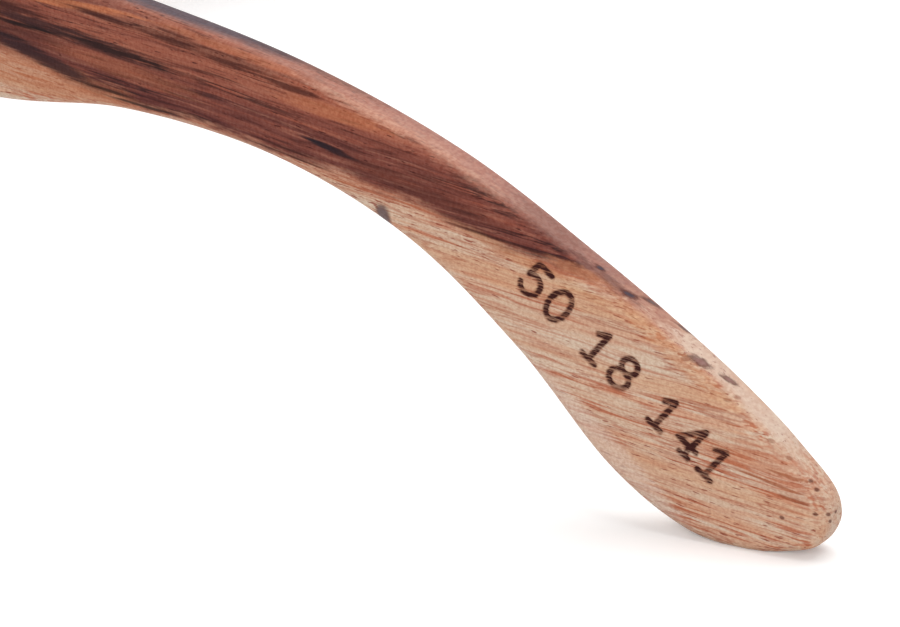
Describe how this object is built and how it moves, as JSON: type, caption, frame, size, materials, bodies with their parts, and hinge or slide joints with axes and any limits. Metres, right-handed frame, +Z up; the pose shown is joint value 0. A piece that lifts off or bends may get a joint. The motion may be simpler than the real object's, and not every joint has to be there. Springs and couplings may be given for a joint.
{
  "type": "wooden sunglasses",
  "caption": "Open wooden sunglasses with a laminated curved front, dark lenses, hinged solid temples and rounded paddle tips.",
  "frame": {"origin": "on the table, below the middle of the box round the open sunglasses", "axes": "+X to the wearer's left, +Y back along the temples to their tips, +Z up"},
  "size_m": [0.1442, 0.1575, 0.0495],
  "materials": {
    "temple_wood": "satin, two-tone rosewood",
    "front_wood": "satin rosewood",
    "core_wood": "satin dark veneer",
    "lens_smoke": "gloss, smoke tint",
    "hinge_steel": "satin",
    "screw_steel": "satin"
  },
  "bodies": {
    "front": {"front_outer_ply": "front_wood", "front_core_ply": "core_wood", "front_inner_ply": "front_wood", "left_lens": "lens_smoke", "right_lens": "lens_smoke", "left_nose_pad": "front_wood", "right_nose_pad": "front_wood", "left_end_block": "front_wood", "right_end_block": "front_wood", "left_front_hinge_leaf": "hinge_steel", "right_front_hinge_leaf": "hinge_steel", "left_front_leaf_screws": "screw_steel", "right_front_leaf_screws": "screw_steel", "left_hinge_pivot_screw": "screw_steel", "right_hinge_pivot_screw": "screw_steel"},
    "left_temple": {"left_temple": "temple_wood", "left_temple_hinge_leaf": "hinge_steel", "left_temple_leaf_screws": "screw_steel"},
    "right_temple": {"right_temple": "temple_wood", "right_temple_hinge_leaf": "hinge_steel", "right_temple_leaf_screws": "screw_steel"}
  },
  "joints": [
    {"name": "left_temple_fold", "type": "hinge", "parent": "front", "child": "left_temple", "pos_m": [0.06565, -0.06086, 0.0346], "axis": [0, 0, 1], "range_deg": [0, 90]},
    {"name": "right_temple_fold", "type": "hinge", "parent": "front", "child": "right_temple", "pos_m": [-0.06565, -0.06086, 0.0346], "axis": [0, 0, -1], "range_deg": [0, 80]}
  ]
}
